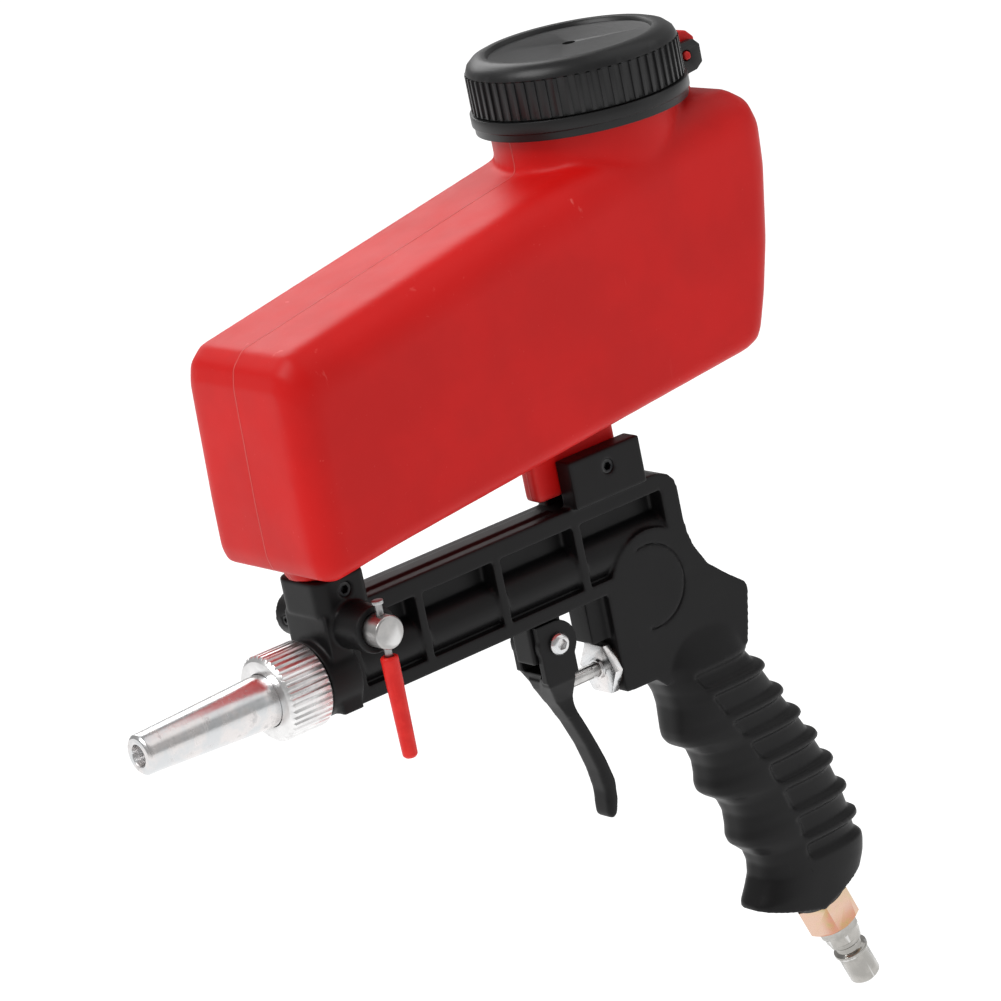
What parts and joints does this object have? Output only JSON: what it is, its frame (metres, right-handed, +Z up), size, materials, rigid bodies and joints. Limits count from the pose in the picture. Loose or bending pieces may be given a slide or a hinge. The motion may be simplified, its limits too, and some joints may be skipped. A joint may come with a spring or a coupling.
{
  "type": "gravity feed hand blasting gun",
  "caption": "Pistol-grip abrasive blasting gun with a red gravity hopper on top, a finned collar holding its nozzle, a sand shut-off lever and an air inlet plug under the grip.",
  "frame": {"origin": "centre of the nozzle's mouth, on the blast axis", "axes": "+X along the blast axis from the nozzle's mouth back into the gun, +Z up towards the hopper's cap, +Y to the side away from the sand lever"},
  "size_m": [0.2736, 0.0728, 0.3584],
  "materials": {
    "black_nylon": "moulded, fine grain",
    "red_plastic": "blow moulded, soft gloss",
    "black_plastic": "moulded, satin",
    "zinc_steel": "bright zinc plate over turned steel",
    "bright_aluminium": "turned and fluted",
    "steel": "turned, plain",
    "dark_screw": "blackened",
    "red_vinyl": "dip moulded",
    "rubber": "moulded",
    "brass": "turned",
    "copper": "annealed washer",
    "gold_zinc": "yellow passivated zinc plate",
    "nickel": "nickel plate",
    "foam": "closed cell foam"
  },
  "bodies": {
    "gun": {"gun_body": "black_nylon", "hopper": "red_plastic", "cap_tether": "black_plastic", "outlet_gasket": "rubber", "hopper_front_screw": "dark_screw", "hopper_rear_screw": "dark_screw", "spool_retaining_screw": "dark_screw", "air_jet": "brass", "jet_seal": "rubber", "trigger_pivot_screw": "zinc_steel", "trigger_pivot_nut": "zinc_steel", "valve_gland_nut": "zinc_steel", "gland_washer": "copper", "stem_seal": "rubber", "valve_seat": "brass", "inlet_bush": "gold_zinc", "inlet_washer": "rubber", "quick_plug": "nickel"},
    "sand_valve": {"sand_valve_spool": "steel", "spool_o_rings": "rubber", "lever_rod": "steel", "lever_sleeve": "red_vinyl"},
    "nozzle_group": {"nozzle": "zinc_steel", "nozzle_seal": "rubber"},
    "collar": {"collar_nut": "bright_aluminium"},
    "trigger_body": {"trigger": "black_plastic"},
    "stem_group": {"valve_stem": "steel", "valve_poppet": "rubber", "valve_spring": "steel"},
    "cap_seal": {"cap_gasket": "foam"},
    "cap_body": {"hopper_cap": "black_plastic"}
  },
  "joints": [
    {"name": "trigger_squeeze", "type": "hinge", "parent": "gun", "child": "trigger_body", "pos_m": [0.1593, 0, -0.0201], "axis": [0, -1, 0], "range_deg": [0, 11], "stiffness_Nm_per_rad": 0.324, "springref_deg": -6.36},
    {"name": "valve_stem_slide", "type": "slide", "parent": "gun", "child": "stem_group", "axis": [1, 0, 0], "range_m": [0, 0.0035]},
    {"name": "sand_lever_turn", "type": "hinge", "parent": "gun", "child": "sand_valve", "pos_m": [0.08, 0, 0.0165], "axis": [0, -1, 0], "range_deg": [0, 90]},
    {"name": "nozzle_pull_out", "type": "slide", "parent": "gun", "child": "nozzle_group", "axis": [-1, 0, 0], "range_m": [0, 0.03]},
    {"name": "collar_turn", "type": "hinge", "parent": "nozzle_group", "child": "collar", "pos_m": [0.055, 0, 0], "axis": [-1, 0, 0], "continuous": true},
    {"name": "cap_lift_off", "type": "slide", "parent": "gun", "child": "cap_seal", "axis": [0, 0, 1], "range_m": [0, 0.06]},
    {"name": "cap_turn", "type": "hinge", "parent": "cap_seal", "child": "cap_body", "pos_m": [0.2173, 0, 0.16], "axis": [0, 0, 1], "continuous": true}
  ],
  "couplings": [
    {"joint": "valve_stem_slide", "follows": "trigger_squeeze", "m_per_rad": 0.018}
  ]
}
